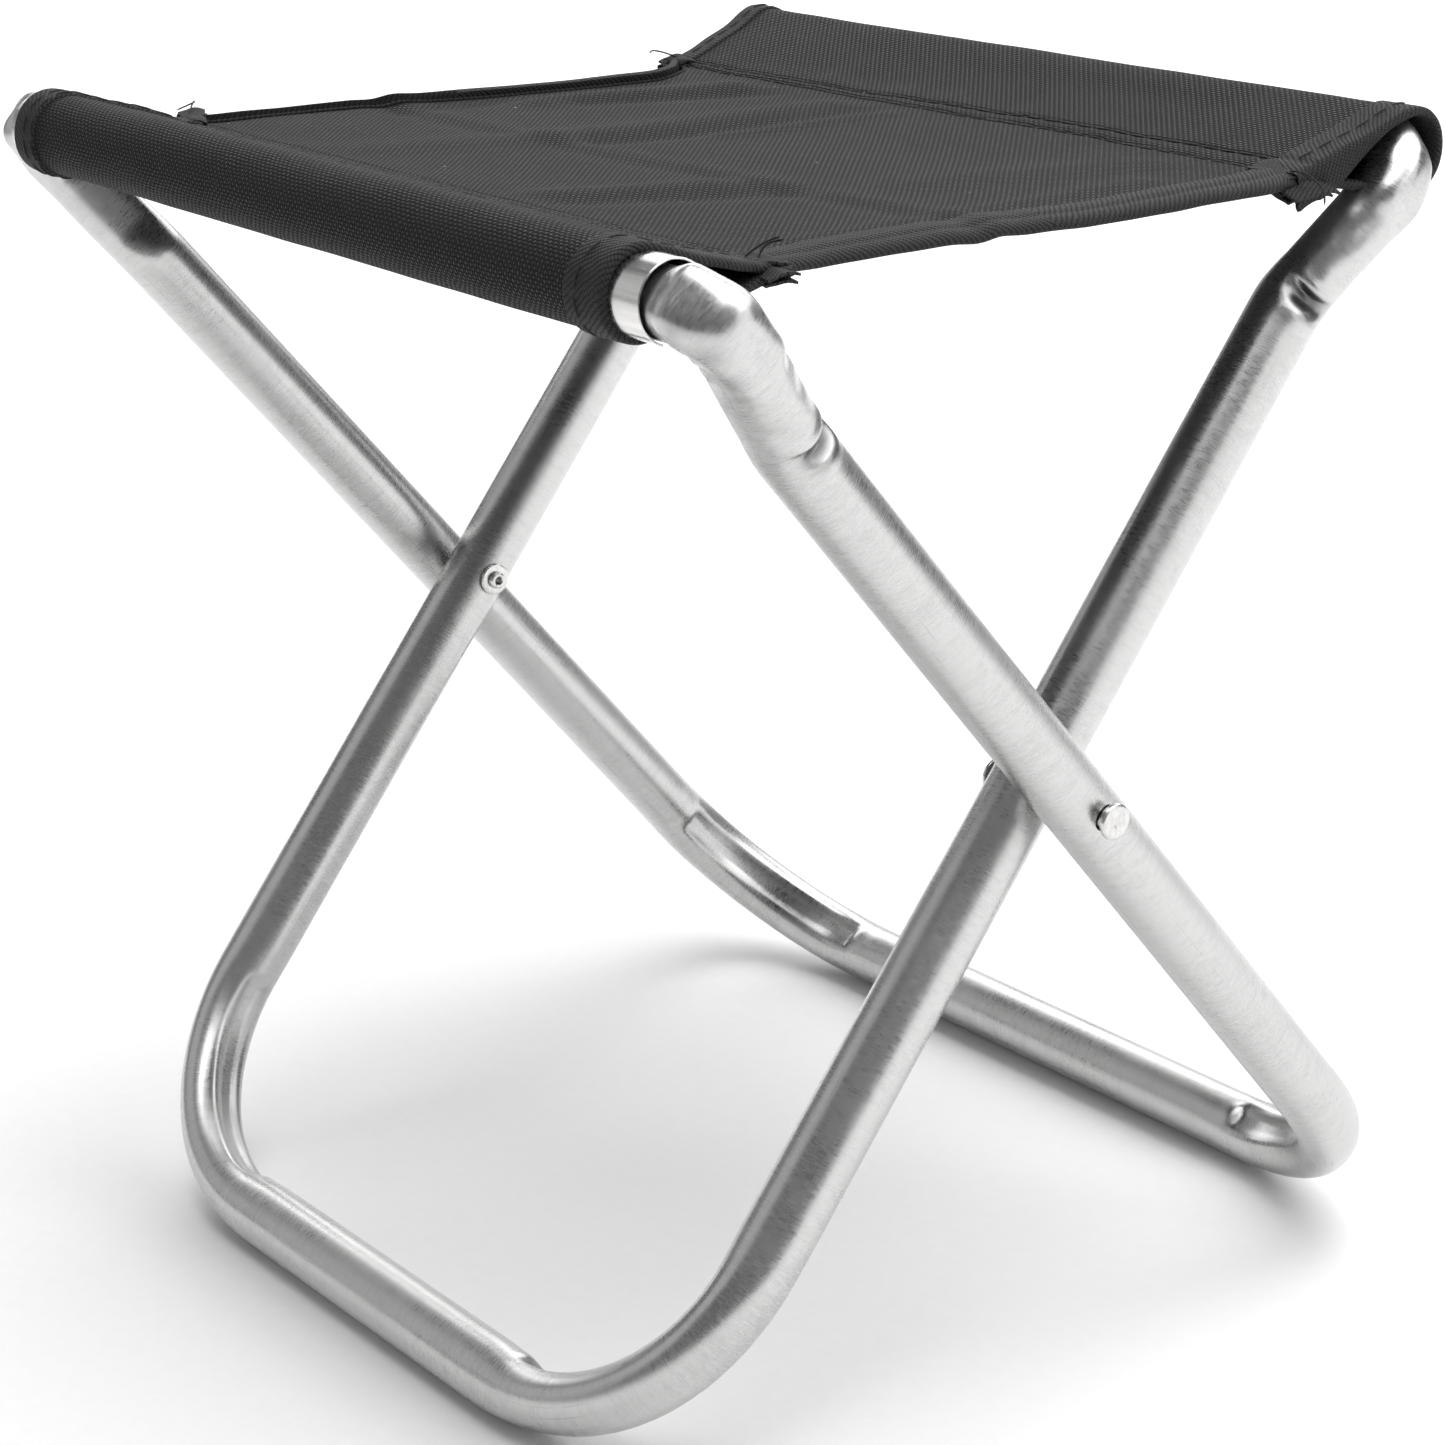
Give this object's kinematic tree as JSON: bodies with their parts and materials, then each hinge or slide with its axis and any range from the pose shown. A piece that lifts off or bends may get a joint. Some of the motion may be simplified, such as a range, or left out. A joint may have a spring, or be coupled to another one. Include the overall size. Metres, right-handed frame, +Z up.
{
  "type": "folding camp stool",
  "caption": "Folding camp stool: crossed bent aluminium tube frames riveted together, with a ribbed dark cloth seat sleeved over the top rails.",
  "frame": {"origin": "on the floor, straight below the middle of the pivot axis", "axes": "+X along the rails and the pivot axis, towards the right-hand end; -Y towards the rail of the wider, outer frame (the front); +Z up"},
  "size_m": [0.2782, 0.2308, 0.2729],
  "materials": {
    "frame_aluminium": "satin mill finish, finely scratched",
    "sleeve_metal": "bright rolled strip",
    "rivet_steel": "bright plated steel",
    "seat_cloth": "ribbed dark grey woven cloth",
    "binding_tape": "black twill tape"
  },
  "bodies": {
    "pivots": {"left_rivet": "rivet_steel", "left_rivet_washer": "rivet_steel", "right_rivet": "rivet_steel", "right_rivet_washer": "rivet_steel", "seat_panel": "seat_cloth", "left_edge_tape": "binding_tape", "right_edge_tape": "binding_tape"},
    "outer_frame": {"outer_frame_tube": "frame_aluminium", "front_rail_sleeve": "sleeve_metal", "front_pocket": "seat_cloth", "front_pocket_left_tape": "binding_tape", "front_pocket_right_tape": "binding_tape", "front_left_corner_tail": "binding_tape", "front_right_corner_tail": "binding_tape"},
    "inner_frame": {"inner_frame_tube": "frame_aluminium", "rear_rail_sleeve": "sleeve_metal", "rear_pocket": "seat_cloth", "rear_pocket_left_tape": "binding_tape", "rear_pocket_right_tape": "binding_tape", "rear_left_corner_tail": "binding_tape", "rear_right_corner_tail": "binding_tape"}
  },
  "joints": [
    {"name": "outer_fold", "type": "hinge", "parent": "pivots", "child": "outer_frame", "pos_m": [0, 0, 0.13717], "axis": [-1, 0, 0], "range_deg": [0, 36], "deforming": ["seat_panel", "left_edge_tape", "right_edge_tape", "front_pocket", "front_pocket_left_tape", "front_pocket_right_tape", "front_left_corner_tail", "front_right_corner_tail"]},
    {"name": "inner_fold", "type": "hinge", "parent": "pivots", "child": "inner_frame", "pos_m": [0, 0, 0.13717], "axis": [1, 0, 0], "range_deg": [0, 36], "deforming": ["rear_pocket", "rear_pocket_left_tape", "rear_pocket_right_tape", "rear_left_corner_tail", "rear_right_corner_tail"]}
  ],
  "couplings": [
    {"joint": "inner_fold", "follows": "outer_fold", "ratio": 1}
  ]
}
